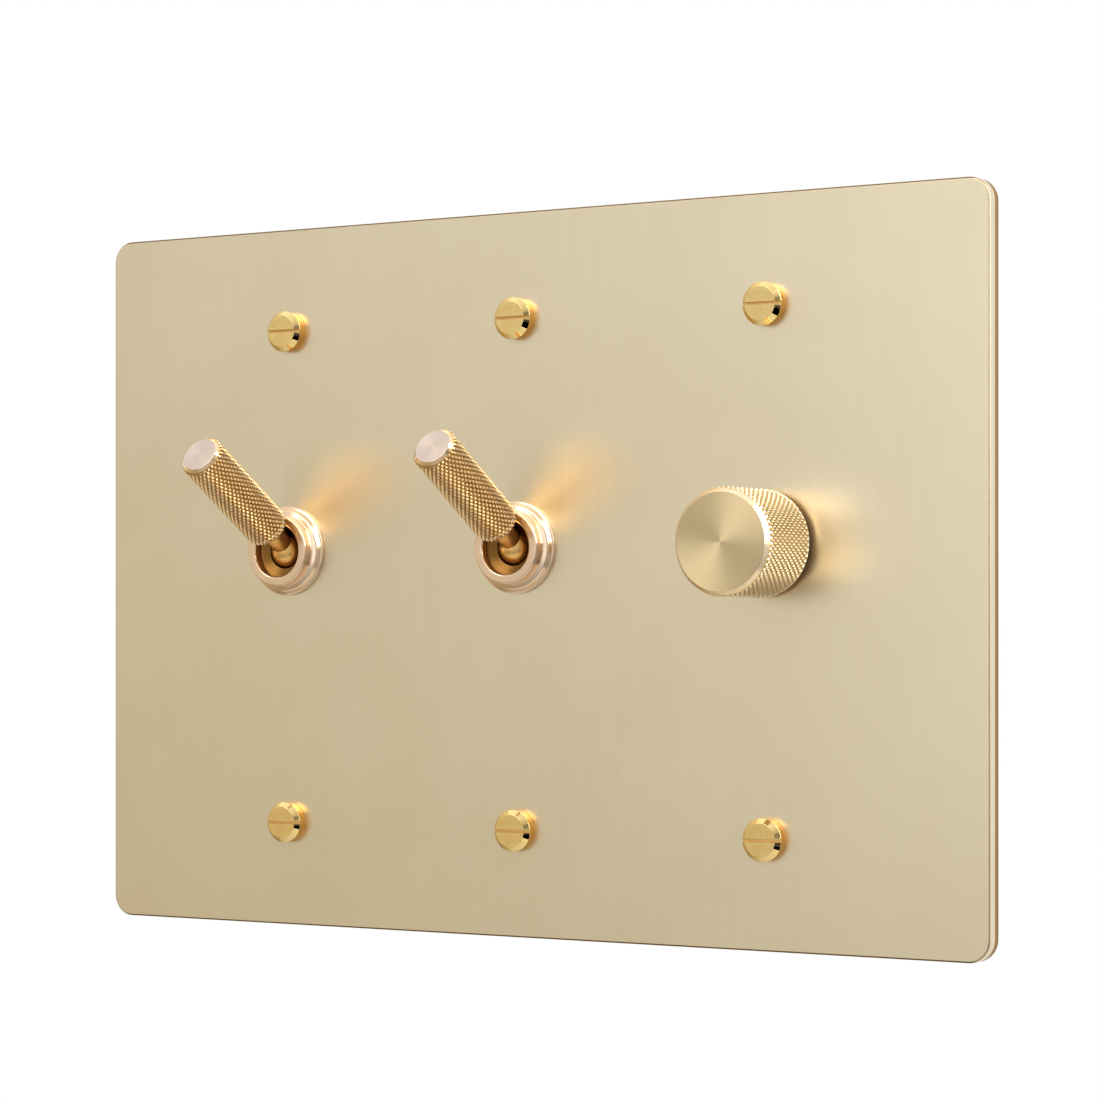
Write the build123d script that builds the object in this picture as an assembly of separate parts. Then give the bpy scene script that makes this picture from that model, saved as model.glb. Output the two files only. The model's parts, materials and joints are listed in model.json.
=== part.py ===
from build123d import *
import math
import os

# Three-gang wall plate with two toggle switches and one rotary dimmer, in millimetres.
# X runs along the plate, Z is up and Y runs into the wall.
# The origin is the centre of the plate's back face, which lies on the wall.

# Face plate
plate_width = 168.0
plate_height = 118.2
plate_thickness = 3.0
plate_corner_radius = 3.6
plate_edge_rounding = 0.3
gang_pitch = 46.04
control_rise = 4.4
panel_clearance = 0.15

# Screws that hold the plate and the straps to the wall box
screw_pitch = 83.34
screw_head_diameter = 6.85
screw_head_height = 2.2
screw_chamfer = 0.75
screw_slot_width = 0.5
screw_slot_depth = 0.8
screw_shank_diameter = 3.0
screw_thread_diameter = 3.5
screw_length = 24.0
screw_hole_clearance = 0.25
screw_tip_chamfer = 0.5
thread_run_out = 0.5

# Pressed straps behind the plate, one for each gang
strap_thickness = 1.5
strap_length = 97.0
strap_width = 42.0
strap_ear_width = 20.0
strap_body_height = 62.0
strap_corner_radius = 3.0
strap_slot_length = 6.6
strap_slot_width = 4.2

# Toggle lever, its ball, grip and pivot pin
lever_tilt = 32.0
lever_length = 29.0
stem_diameter = 3.5
ball_diameter = 5.8
ball_clearance = 0.1
tail_diameter = 2.8
tail_length = 8.0
swing_clearance = 0.15
grip_diameter = 7.6
grip_end_rounding = 1.9
grip_bevel = 0.8
grip_socket_depth = 4.0
grip_clearance = 0.36
pivot_pin_diameter = 1.5
pivot_pin_length = 10.2
running_clearance = 0.03
press_clearance = 0.01

# Threaded bush that carries the lever
bush_diameter = 10.6
bush_reach = 2.0
bush_dish_depth = 0.8
bush_rim_width = 0.3
bush_flange_diameter = 13.2
bush_flange_thickness = 1.0
thread_clearance = 0.05

# Stepped dress nut on the bush
bezel_height = 3.6
bezel_base_diameter = 15.0
bezel_rim_height = 0.6
bezel_rim_step = 0.3
bezel_shoulder_diameter = 13.8
bezel_shoulder_height = 1.5
bezel_shoulder_rounding = 0.5
bezel_neck_diameter = 12.05
bezel_cove_height = 0.25
bezel_mouth_diameter = 9.0
bezel_lip_thickness = 1.4
bezel_edge_rounding = 0.3

# Sprung plunger in the lever's tail
plunger_reach = 11.0
plunger_diameter = 1.7
plunger_length = 4.6
plunger_nose_rounding = 0.8
plunger_clearance = 0.05
plunger_spring_length = 4.0
plunger_spring_turns = 4
plunger_spring_wire = 0.32

# How finely a coil spring is stepped
coil_steps_per_turn = 12
coil_wire_sides = 6

# Rocking contact that the plunger throws over
rocker_swing = 7.0
rocker_nose_gap = 0.06
rocker_arc_radius = 8.5
rocker_arc_half_angle = 50.0
rocker_span = 26.0
rocker_thickness = 0.8
rocker_width = 4.0
rocker_knuckle_diameter = 1.5
rocker_knuckle_clearance = 0.04
rocker_seat_gap = 0.25
contact_pitch = 22.0
contact_diameter = 3.0
contact_height = 0.7
contact_clearance = 0.1

# Brass terminals in the toggle case
post_height = 3.4
post_width = 5.0
common_post_depth = 4.0
contact_post_depth = 3.4
terminal_width = 6.4
terminal_height = 6.0
terminal_depth = 7.4
terminal_clearance = 0.1
wire_hole_diameter = 3.0
terminal_screw_diameter = 2.8
terminal_screw_head_diameter = 3.8
terminal_screw_head_height = 1.8
terminal_screw_slot = 0.6
terminal_screw_access = 4.6
screw_seat_gap = 0.1

# Moulded toggle case and its rivets
case_width = 18.0
case_side_wall = 2.0
case_end_wall = 2.9
case_back_wall = 2.1
case_corner_radius = 1.5
case_edge_rounding = 0.6
wire_lead_in = 0.6
rocker_end_room = 1.6
case_ear_width = 10.0
case_ear_reach = 5.2
case_ear_thickness = 3.0
rivet_diameter = 2.5
rivet_head_diameter = 4.4
rivet_head_height = 0.95
rivet_tail_height = 0.9

# Dimmer knob, shaft and threaded bush
knob_diameter = 17.0
knob_length = 13.4
knob_standoff = 1.4
knob_face_diameter = 15.3
knob_bevel_depth = 1.1
knob_rear_rounding = 0.4
knob_recess_diameter = 14.6
knob_recess_depth = 4.6
knob_face_thickness = 2.2
push_travel = 1.2
shaft_diameter = 6.0
shaft_flat_depth = 1.5
shaft_end_gap = 0.1
shaft_spigot_diameter = 4.0
shaft_head_diameter = 5.2
shaft_head_thickness = 0.75
dimmer_bush_diameter = 9.0
dimmer_bush_reach = 4.6
dimmer_bush_flange_diameter = 13.0
dimmer_bush_flange_thickness = 1.2
washer_diameter = 13.6
washer_thickness = 0.6
nut_across_flats = 12.0
nut_height = 2.4

# Potentiometer, push slider, return spring and push switch
pot_size = 16.0
pot_depth = 7.0
pot_corner_radius = 2.0
slider_size = 12.0
slider_depth = 4.0
slider_gap = 0.5
slider_play = 0.05
slider_guide_clearance = 0.1
slider_guide_height = 10.0
slider_guide_room = 0.6
return_spring_diameter = 9.8
return_spring_wire = 0.6
return_spring_turns = 4
switch_size = 6.0
switch_height = 2.5
switch_button_diameter = 3.0
switch_button_height = 0.7

# Dimmer board and what stands on it
board_width = 28.4
board_height = 35.4
board_thickness = 1.6
board_edge_room = 0.5
capacitor_width = 13.0
capacitor_height = 7.0
capacitor_depth = 9.0
capacitor_corner_radius = 0.8
capacitor_offset = (-5.5, 13.0)
choke_diameter = 7.6
choke_core_diameter = 6.2
choke_height = 8.0
choke_flange = 1.2
choke_offset = (-9.8, -11.0)
triac_width = 10.0
triac_height = 9.0
triac_depth = 4.5
triac_tab_reach = 6.0
triac_tab_thickness = 1.3
triac_hole_diameter = 3.6
triac_leg = 0.8
triac_leg_pitch = 2.54
triac_leg_reach = 2.5
triac_offset = (3.0, -13.1)

# Dimmer terminals, case and case screws
dimmer_terminal_pitch = 9.0
dimmer_terminal_drop = 10.0
dimmer_terminal_depth = 5.9
dimmer_case_wall = 1.8
dimmer_case_back_wall = 2.0
dimmer_boss_reach = 5.5
dimmer_boss_width = 10.0
dimmer_boss_depth = 8.0
board_post_width = 2.0
board_post_height = 4.0
case_screw_diameter = 2.9
case_screw_head_diameter = 5.0
case_screw_head_height = 1.05
case_screw_length = 8.0
case_screw_tip_room = 0.5
fin_depth = 7.5
fin_height = 50.0

# Places and sizes that follow from those above
front = -plate_thickness
strap_back = strap_thickness
pivot = front
tilt = math.radians(lever_tilt)
grip_foot = bezel_height + grip_clearance + grip_end_rounding
grip_foot += (grip_diameter / 2 - grip_end_rounding) * math.sin(tilt)
grip_start = grip_foot / math.cos(tilt) - grip_end_rounding
grip_length = lever_length - grip_start
knuckle = pivot + plunger_reach + rocker_nose_gap + rocker_thickness
floor = knuckle + post_height
case_back = floor + terminal_depth + case_back_wall
case_height = rocker_span + 2 * rocker_end_room + 2 * case_end_wall
ear_centre = (case_height + case_ear_reach) / 2
tail_bore_diameter = plunger_diameter + 2 * plunger_clearance
plunger_start = plunger_reach - plunger_length

# Turns that bring an upright clamp screw in from the case's side or from below
from_side = Rot(0, 90, 0)
from_below = Rot(180, 0, 0)

pieces = {}


def turned(*corners, rounding=None):
    """Solid turned about the Y axis from (radius, depth) corners, each with its own rounding."""
    if rounding:
        outline = FilletPolyline(*corners, radius=rounding, close=True)
    else:
        outline = Polyline(*corners, close=True)
    return revolve(make_face(outline), axis=Axis.Y)


def rod(diameter, start, end):
    """Round bar about the Y axis between two depths."""
    radius = diameter / 2
    return turned((0, start), (radius, start), (radius, end), (0, end))


def cross_rod(diameter, start, end):
    """Round bar about the X axis between two places along it."""
    return Pos((start + end) / 2, 0, 0) * Rot(0, 90, 0) * Cylinder(diameter / 2, end - start)


def upright_rod(diameter, start, end):
    """Round bar about the Z axis between two heights."""
    return Pos(0, 0, (start + end) / 2) * Cylinder(diameter / 2, end - start)


def brick(width, height, start, end):
    """Block centred on the Y axis, width along X and height along Z, between two depths."""
    return Pos(0, (start + end) / 2, 0) * Box(width, end - start, height)


def slab(outline, start, end):
    """Plate with an X-Z outline between two depths."""
    return extrude(Plane.XZ.offset(-end) * outline, amount=end - start)


def countersunk(diameter, head_diameter, head_height, end, clearance=0.0):
    """Flush conical head at depth zero with a plain shank, or the hole that takes it."""
    wide = head_diameter / 2 + clearance
    slim = diameter / 2 + clearance
    return turned((0, 0), (wide, 0), (slim, head_height), (slim, end), (0, end))


def coil(diameter, wire, start, end, turns):
    """Open coil spring about the Y axis between two depths, lofted through short straight steps."""
    mean_radius = (diameter - wire) / 2
    rise = end - start - wire
    steps = turns * coil_steps_per_turn
    sections = []
    for step in range(steps + 1):
        turn = Rot(0, 360 * step / coil_steps_per_turn, 0)
        lift = Pos(0, start + wire / 2 + rise * step / steps, 0)
        sections.append(lift * turn * Pos(mean_radius, 0, 0) * RegularPolygon(wire / 2, coil_wire_sides))
    return loft(sections, ruled=True)


def strap(hole_diameter):
    """Pressed strap with rounded ears, an elongated screw hole in each ear and a bush hole."""
    outline = Rectangle(strap_width, strap_body_height) + Rectangle(strap_ear_width, strap_length)
    outline = fillet(outline.vertices(), strap_corner_radius)
    for side in (-1, 1):
        outline -= Pos(0, side * screw_pitch / 2) * SlotOverall(strap_slot_length, strap_slot_width)
    outline -= Pos(0, control_rise) * Circle(hole_diameter / 2)
    return slab(outline, 0, strap_back)


def terminal_screw(seat, reach):
    """Slotted clamp screw about the Z axis: its head stands above the seat, its shank below."""
    slot_depth = terminal_screw_head_height / 2
    head_top = seat + terminal_screw_head_height
    screw = upright_rod(terminal_screw_head_diameter, seat, head_top)
    screw += upright_rod(terminal_screw_diameter, seat - reach, seat)
    slot = Box(2 * terminal_screw_head_diameter, terminal_screw_slot, slot_depth)
    return screw - Pos(0, 0, head_top - slot_depth / 2) * slot


def terminal_block(start, depth, screw_turn):
    """Brass block with a wire hole from behind and a tapped hole on the side its clamp screw enters."""
    block = brick(terminal_width, terminal_height, start, start + depth)
    block -= rod(wire_hole_diameter, start, start + depth)
    tapped = upright_rod(terminal_screw_diameter + 2 * thread_clearance, 0, terminal_width)
    return block - Pos(0, start + depth / 2, 0) * screw_turn * tapped


def make_plate():
    """Solid brass plate, rounded along its front edge, drilled for the bushes and the screws."""
    plate = slab(RectangleRounded(plate_width, plate_height, plate_corner_radius), front, 0)
    plate = fillet(plate.faces().sort_by(Axis.Y)[0].edges(), plate_edge_rounding)
    bush_holes = {-1: bush_diameter, 0: bush_diameter, 1: dimmer_bush_diameter}
    for gang, diameter in bush_holes.items():
        hole = rod(diameter + 2 * panel_clearance, front, 0)
        plate -= Pos(gang * gang_pitch, 0, control_rise) * hole
    for place in screw_places():
        plate -= place * rod(screw_thread_diameter + 2 * screw_hole_clearance, front, 0)
    pieces["face_plate"] = plate


def screw_places():
    """Where the six plate screws stand, above and below each control."""
    rows = (-screw_pitch / 2, screw_pitch / 2)
    return [Pos(gang * gang_pitch, 0, row) for gang in (-1, 0, 1) for row in rows]


def make_plate_screws():
    """Chamfered cheese-head screws, slotted, with a plain shank through the plate and strap."""
    head = screw_head_diameter / 2
    shank = screw_shank_diameter / 2
    thread = screw_thread_diameter / 2
    top = front - screw_head_height
    end = front + screw_length
    thread_start = strap_back + thread_run_out
    screw = turned(
        (0, top),
        (head - screw_chamfer, top),
        (head, top + screw_chamfer),
        (head, front),
        (shank, front),
        (shank, thread_start),
        (thread, thread_start),
        (thread, end - screw_tip_chamfer),
        (thread - screw_tip_chamfer, end),
        (0, end),
    )
    screw -= brick(2 * screw_head_diameter, screw_slot_width, top, top + screw_slot_depth)
    pieces["plate_screws"] = Compound([place * solid for place in screw_places() for solid in screw.solids()])


def make_bush():
    """Threaded bush: a dished mouth, a bore round the lever's ball and a flare for its tail."""
    outside = bush_diameter / 2
    flange = bush_flange_diameter / 2
    ball_bore = ball_diameter / 2 + ball_clearance
    rim = front - bush_reach
    back = strap_back + bush_flange_thickness
    tail_room = tail_diameter / 2 / math.cos(tilt) + swing_clearance
    flare_start = pivot + (ball_bore - tail_room) / math.tan(tilt)
    flare_end = tail_room + (back - pivot) * math.tan(tilt)
    bush = turned(
        (outside - bush_rim_width, rim),
        (outside, rim),
        (outside, strap_back),
        (flange, strap_back),
        (flange, back),
        (flare_end, back),
        (ball_bore, flare_start),
        (ball_bore, rim + bush_dish_depth),
    )
    pin_hole = cross_rod(pivot_pin_diameter + 2 * press_clearance, -bush_diameter, bush_diameter)
    return bush - Pos(0, pivot, 0) * pin_hole


def make_bezel():
    """Dress nut turned with a base rim, a rounded shoulder, a neck and an inward lip."""
    steps = [
        (bush_diameter / 2 + thread_clearance, 0, 0),
        (bezel_base_diameter / 2, 0, 0),
        (bezel_base_diameter / 2, bezel_rim_height, bezel_rim_step / 3),
        (bezel_base_diameter / 2 - bezel_rim_step, bezel_rim_height + bezel_rim_step / 2, 0),
        (bezel_shoulder_diameter / 2, bezel_shoulder_height, bezel_shoulder_rounding),
        (bezel_neck_diameter / 2, bezel_shoulder_height + bezel_cove_height, bezel_edge_rounding / 2),
        (bezel_neck_diameter / 2, bezel_height, bezel_edge_rounding),
        (bezel_mouth_diameter / 2, bezel_height, bezel_edge_rounding),
        (bezel_mouth_diameter / 2, bezel_height - bezel_lip_thickness, 0),
        (bush_diameter / 2 + thread_clearance, bezel_height - bezel_lip_thickness, 0),
    ]
    corners = [(radius, front - height) for radius, height, _ in steps]
    return turned(*corners, rounding=[rounding for _, _, rounding in steps])


def make_lever():
    """Turned lever along the Y axis with its ball on the pivot and a bored tail behind it."""
    stem_end = grip_start + grip_socket_depth - press_clearance
    lever = rod(stem_diameter, -stem_end, 0) + Sphere(ball_diameter / 2) + rod(tail_diameter, 0, tail_length)
    lever -= rod(tail_bore_diameter, plunger_start - plunger_spring_length, tail_length)
    return lever - cross_rod(pivot_pin_diameter + 2 * running_clearance, -ball_diameter, ball_diameter)


def make_grip():
    """Grip pressed on the stem: rounded at the foot, bevelled round its flat end."""
    outside = grip_diameter / 2
    socket = stem_diameter / 2 + press_clearance
    foot_rounding = min(grip_end_rounding, outside - socket)
    grip = turned(
        (socket, 0),
        (outside, 0),
        (outside, grip_bevel - grip_length),
        (outside - grip_bevel, -grip_length),
        (0, -grip_length),
        (0, -grip_socket_depth),
        (socket, -grip_socket_depth),
        rounding=[0, foot_rounding, 0, 0, 0, 0, 0],
    )
    return Pos(0, -grip_start, 0) * grip


def make_plunger():
    """Plunger with a rounded nose."""
    radius = plunger_diameter / 2
    return turned(
        (0, plunger_start),
        (radius, plunger_start),
        (radius, plunger_reach),
        (0, plunger_reach),
        rounding=[0, 0, plunger_nose_rounding, 0],
    )


def rocker_arc_end():
    """Depth, from the rocker's knuckle, at which the curved strip turns out into its wings."""
    outer = rocker_arc_radius + rocker_thickness
    return rocker_arc_radius * math.cos(math.radians(rocker_arc_half_angle)) - outer


def make_rocker():
    """Curved brass seesaw with a half-round knuckle behind it and a wing at each end."""
    outer = rocker_arc_radius + rocker_thickness
    arc_end = rocker_arc_end()
    wing_start = rocker_arc_radius * math.sin(math.radians(rocker_arc_half_angle))
    wing_length = rocker_span / 2 - wing_start
    ring = Pos(-outer, 0) * (Circle(outer) - Circle(rocker_arc_radius))
    profile = ring & Pos(arc_end / 2, 0) * Rectangle(-arc_end, 2 * outer)
    profile += Circle(rocker_knuckle_diameter / 2)
    for side in (-1, 1):
        wing = Rectangle(rocker_thickness, wing_length)
        profile += Pos(arc_end + rocker_thickness / 2, side * (wing_start + wing_length / 2)) * wing
    return extrude(Plane.YZ * profile, amount=rocker_width / 2, both=True)


def make_rocker_contacts():
    """Silver contact buttons behind the rocker's wings."""
    start = rocker_arc_end() + rocker_thickness
    button = rod(contact_diameter, start, start + contact_height)
    return Pos(0, 0, -contact_pitch / 2) * button + Pos(0, 0, contact_pitch / 2) * button


def fixed_contact_face():
    """Depth of the fixed contacts: just behind the moving contact's edge when the rocker is over."""
    swing = math.radians(rocker_swing)
    face = rocker_arc_end() + rocker_thickness + contact_height
    edge = (contact_pitch + contact_diameter) / 2
    return knuckle + face * math.cos(swing) + edge * math.sin(swing) + contact_clearance


def make_common_terminal():
    """Post with a groove that the rocker's knuckle sits in, on a terminal block."""
    groove = cross_rod(rocker_knuckle_diameter + 2 * rocker_knuckle_clearance, -post_width, post_width)
    post = brick(post_width, common_post_depth, knuckle + rocker_seat_gap, floor)
    block = terminal_block(floor, terminal_depth, from_side)
    return post + block - Pos(0, knuckle, 0) * groove


def make_contact_terminal():
    """Post with a contact button, on a terminal block."""
    face = fixed_contact_face()
    post = brick(post_width, contact_post_depth, face + contact_height, floor)
    button = rod(contact_diameter, face, face + contact_height)
    return post + button + terminal_block(floor, terminal_depth, from_side)


def moulded_block(width, height, start, end):
    """Block with upright edges rounded, as the mould leaves them."""
    block = brick(width, height, start, end)
    return fillet(block.edges().filter_by(Axis.Y), case_corner_radius)


def moulded_case(width, height, back):
    """Solid case body behind the strap, with its rear edges rounded too."""
    body = moulded_block(width, height, strap_back, back)
    return fillet(body.faces().sort_by(Axis.Y)[-1].edges(), case_edge_rounding)


def wire_entry(start, back):
    """Wire hole to a case's back, opened out there to guide the wire in."""
    slim = wire_hole_diameter / 2
    wide = slim + wire_lead_in
    return turned((0, start), (slim, start), (slim, back - wire_lead_in), (wide, back), (0, back))


def make_toggle_case():
    """Moulded case: a chamber for the rocker, a pocket for each terminal and two riveting ears."""
    chamber_height = case_height - 2 * case_end_wall
    ear_back = strap_back + case_ear_thickness
    screw_height = floor + terminal_depth / 2
    case = moulded_case(case_width, case_height, case_back)
    case += moulded_block(case_ear_width, case_height + 2 * case_ear_reach, strap_back, ear_back)
    case -= brick(case_width - 2 * case_side_wall, chamber_height, strap_back, floor)
    pocket = brick(
        terminal_width + 2 * terminal_clearance,
        terminal_height + 2 * terminal_clearance,
        floor,
        floor + terminal_depth,
    )
    wire_hole = wire_entry(floor, case_back)
    screw_hole = Pos(0, screw_height, 0) * cross_rod(terminal_screw_access, 0, case_width)
    for row in (-1, 0, 1):
        case -= Pos(0, 0, row * contact_pitch / 2) * (pocket + wire_hole + screw_hole)
    for side in (-1, 1):
        case -= Pos(0, 0, side * ear_centre) * rod(rivet_diameter + 2 * press_clearance, 0, ear_back)
    return case


def make_toggle_strap():
    """Toggle strap with countersunk rivet holes."""
    plate = strap(bush_diameter + 2 * panel_clearance)
    hole = countersunk(rivet_diameter, rivet_head_diameter, rivet_head_height, strap_back, press_clearance)
    for side in (-1, 1):
        plate -= Pos(0, 0, control_rise + side * ear_centre) * hole
    return plate


def make_rivets():
    """Flush-headed rivets that hold the case to the strap."""
    ear_back = strap_back + case_ear_thickness
    rivet = countersunk(rivet_diameter, rivet_head_diameter, rivet_head_height, ear_back)
    rivet += rod(rivet_head_diameter, ear_back, ear_back + rivet_tail_height)
    return Pos(0, 0, -ear_centre) * rivet + Pos(0, 0, ear_centre) * rivet


def make_terminal_screws():
    """Clamp screws in the toggle's terminals, driven from the side of the case."""
    seat = terminal_width / 2 + screw_seat_gap
    screw = from_side * terminal_screw(seat, seat - wire_hole_diameter / 2)
    depth = floor + terminal_depth / 2
    rows = [Pos(0, depth, row * contact_pitch / 2) for row in (-1, 0, 1)]
    return Compound([place * solid for place in rows for solid in screw.solids()])


def make_toggles():
    """Two toggle switches with their handles up, in the left and middle gangs."""
    on_axis = Pos(0, 0, control_rise)
    on_pivot = Pos(0, pivot, control_rise)
    on_lever = on_pivot * Rot(-lever_tilt, 0, 0)
    on_rocker = Pos(0, knuckle, control_rise) * Rot(rocker_swing, 0, 0)
    pin_end = pivot_pin_length / 2
    spring_start = plunger_start - plunger_spring_length
    spring = coil(plunger_diameter, plunger_spring_wire, spring_start, plunger_start, plunger_spring_turns)
    contact_terminal = make_contact_terminal()
    lower, upper = [Pos(0, 0, side * contact_pitch / 2) for side in (-1, 1)]
    toggle = {
        "strap": make_toggle_strap(),
        "bush": on_axis * make_bush(),
        "bezel": on_axis * make_bezel(),
        "pivot_pin": on_pivot * cross_rod(pivot_pin_diameter, -pin_end, pin_end),
        "lever": on_lever * make_lever(),
        "grip": on_lever * make_grip(),
        "plunger": on_lever * make_plunger(),
        "plunger_spring": on_lever * spring,
        "rocker": on_rocker * make_rocker(),
        "rocker_contacts": on_rocker * make_rocker_contacts(),
        "common_terminal": on_axis * make_common_terminal(),
        "contact_terminals": on_axis * (lower * contact_terminal + upper * contact_terminal),
        "terminal_screws": on_axis * make_terminal_screws(),
        "case": on_axis * make_toggle_case(),
        "case_rivets": on_axis * make_rivets(),
    }
    for name, gang in (("left", -1), ("middle", 0)):
        for piece, solid in toggle.items():
            pieces[f"{name}_{piece}"] = Pos(gang * gang_pitch, 0, 0) * solid


make_plate()
make_plate_screws()
make_toggles()

# Places in the dimmer, from the knob's face back to the case
knob_back = front - knob_standoff
knob_face = knob_back - knob_length
recess_floor = knob_back - knob_recess_depth
pot_front = strap_back + dimmer_bush_flange_thickness
pot_back = pot_front + pot_depth
slider_front = pot_back + slider_gap
slider_back = slider_front + slider_depth
shaft_shoulder = slider_front - slider_play
shaft_head_front = slider_back + slider_play
shaft_back = shaft_head_front + shaft_head_thickness
button_top = shaft_back + push_travel + shaft_end_gap
board_front = button_top + switch_button_height + switch_height
board_back = board_front + board_thickness
dimmer_floor = board_back + dimmer_terminal_depth
dimmer_back = dimmer_floor + dimmer_case_back_wall
chamber_width = board_width + 2 * board_edge_room
chamber_height = board_height + 2 * board_edge_room
dimmer_case_height = chamber_height + 2 * dimmer_case_wall
boss_centre = (dimmer_case_height + dimmer_boss_reach) / 2
triac_hole_along = triac_offset[0] + (triac_width + triac_tab_reach) / 2
terminal_rows = [Pos(column * dimmer_terminal_pitch, 0, -dimmer_terminal_drop) for column in (-1, 0, 1)]


def flatted(diameter, flat_depth, start, end):
    """Round bar about the Y axis with one flat along its top."""
    bar = rod(diameter, start, end)
    return bar - Pos(0, 0, diameter - flat_depth) * brick(2 * diameter, diameter, start, end)


def make_knob():
    """Turned knob with a bevelled face, hollow behind to clear the nut, bored for a flatted shaft."""
    outside = knob_diameter / 2
    recess = knob_recess_diameter / 2
    knob = turned(
        (0, knob_face),
        (knob_face_diameter / 2, knob_face),
        (outside, knob_face + knob_bevel_depth),
        (outside, knob_back),
        (recess, knob_back),
        (recess, recess_floor),
        (0, recess_floor),
        rounding=[0, 0, 0, knob_rear_rounding, 0, 0, 0],
    )
    bore = shaft_diameter + 2 * press_clearance
    return knob - flatted(bore, shaft_flat_depth, knob_face + knob_face_thickness, recess_floor)


def make_shaft():
    """Shaft with a flat in the knob, a spigot through the slider and a riveted head behind it."""
    shaft_front = knob_face + knob_face_thickness + shaft_end_gap
    shaft = flatted(shaft_diameter, shaft_flat_depth, shaft_front, recess_floor)
    shaft += rod(shaft_diameter, recess_floor, shaft_shoulder)
    shaft += rod(shaft_spigot_diameter, shaft_shoulder, shaft_head_front)
    return shaft + rod(shaft_head_diameter, shaft_head_front, shaft_back)


def make_dimmer_bush():
    """Threaded bush that the shaft turns and slides in."""
    bush = rod(dimmer_bush_diameter, front - dimmer_bush_reach, strap_back)
    bush += rod(dimmer_bush_flange_diameter, strap_back, pot_front)
    return bush - rod(shaft_diameter + 2 * running_clearance, front - dimmer_bush_reach, pot_front)


def make_washer():
    """Plain washer under the nut."""
    washer = rod(washer_diameter, front - washer_thickness, front)
    return washer - rod(dimmer_bush_diameter + 2 * panel_clearance, front - washer_thickness, front)


def make_nut():
    """Hexagon nut that clamps the plate to the strap, hidden in the knob."""
    seat = front - washer_thickness
    corner_radius = nut_across_flats / math.sqrt(3)
    nut = slab(RegularPolygon(corner_radius, 6), seat - nut_height, seat)
    return nut - rod(dimmer_bush_diameter + 2 * thread_clearance, seat - nut_height, seat)


def make_pot():
    """Sealed potentiometer with a rail on each side of its back that keeps the slider from turning."""
    rail_width = (pot_size - slider_size) / 2 - slider_guide_clearance
    rail_back = slider_back + push_travel + slider_guide_room
    pot = slab(RectangleRounded(pot_size, pot_size, pot_corner_radius), pot_front, pot_back)
    for side in (-1, 1):
        rail = brick(rail_width, slider_guide_height, pot_back, rail_back)
        pot += Pos(side * (pot_size - rail_width) / 2, 0, 0) * rail
    return pot - rod(shaft_diameter + 2 * running_clearance, pot_front, pot_back)


def make_slider():
    """Square slider that moves in and out with the shaft but doesn't turn."""
    slider = brick(slider_size, slider_size, slider_front, slider_back)
    return slider - rod(shaft_spigot_diameter + 2 * running_clearance, slider_front, slider_back)


def make_push_switch():
    """Sealed push switch on the board, behind the end of the shaft."""
    switch = brick(switch_size, switch_size, button_top + switch_button_height, board_front)
    return switch + rod(switch_button_diameter, button_top, button_top + switch_button_height)


def make_board():
    """Circuit board."""
    return brick(board_width, board_height, board_front, board_back)


def make_triac():
    """Power switch against the strap: body, bored tab and three legs bent back to the board."""
    body = brick(triac_width, triac_height, strap_back, strap_back + triac_depth)
    tab = brick(triac_tab_reach, triac_height, strap_back, strap_back + triac_tab_thickness)
    tab -= rod(triac_hole_diameter, strap_back, strap_back + triac_tab_thickness)
    triac = body + Pos((triac_width + triac_tab_reach) / 2, 0, 0) * tab
    leg_depth = strap_back + triac_depth / 2
    for row in (-1, 0, 1):
        out = brick(triac_leg_reach, triac_leg, leg_depth - triac_leg / 2, leg_depth + triac_leg / 2)
        down = brick(triac_leg, triac_leg, leg_depth - triac_leg / 2, board_front)
        leg = Pos(-(triac_width + triac_leg_reach) / 2, 0, 0) * out
        leg += Pos(-triac_width / 2 - triac_leg_reach + triac_leg / 2, 0, 0) * down
        triac += Pos(0, 0, row * triac_leg_pitch) * leg
    return Pos(triac_offset[0], 0, triac_offset[1]) * triac


def make_triac_rivet():
    """Flush rivet through the triac's tab."""
    tab_back = strap_back + triac_tab_thickness
    shank = triac_hole_diameter - 2 * press_clearance
    head = rivet_head_diameter + triac_hole_diameter - rivet_diameter
    rivet = countersunk(shank, head, rivet_head_height, tab_back)
    rivet += rod(triac_hole_diameter + rivet_tail_height * 2, tab_back, tab_back + rivet_tail_height)
    return Pos(triac_hole_along, 0, triac_offset[1]) * rivet


def make_choke():
    """Drum choke: a wound core between two flanges."""
    base = board_front - choke_height
    drum = rod(choke_diameter, base, base + choke_flange)
    drum += rod(choke_core_diameter, base + choke_flange, board_front - choke_flange)
    drum += rod(choke_diameter, board_front - choke_flange, board_front)
    return Pos(choke_offset[0], 0, choke_offset[1]) * drum


def make_capacitor():
    """Boxed film capacitor."""
    outline = RectangleRounded(capacitor_width, capacitor_height, capacitor_corner_radius)
    box = slab(outline, board_front - capacitor_depth, board_front)
    return Pos(capacitor_offset[0], 0, capacitor_offset[1]) * box


def make_dimmer_terminals():
    """Three brass blocks behind the board, clamped from below."""
    block = terminal_block(board_back, dimmer_terminal_depth, from_below)
    return Compound([place * solid for place in terminal_rows for solid in block.solids()])


def make_dimmer_terminal_screws():
    """Clamp screws under the dimmer's terminals."""
    seat = terminal_height / 2 + screw_seat_gap
    screw = terminal_screw(seat, seat - wire_hole_diameter / 2)
    screw = Pos(0, board_back + dimmer_terminal_depth / 2, 0) * from_below * screw
    return Compound([place * solid for place in terminal_rows for solid in screw.solids()])


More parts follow.
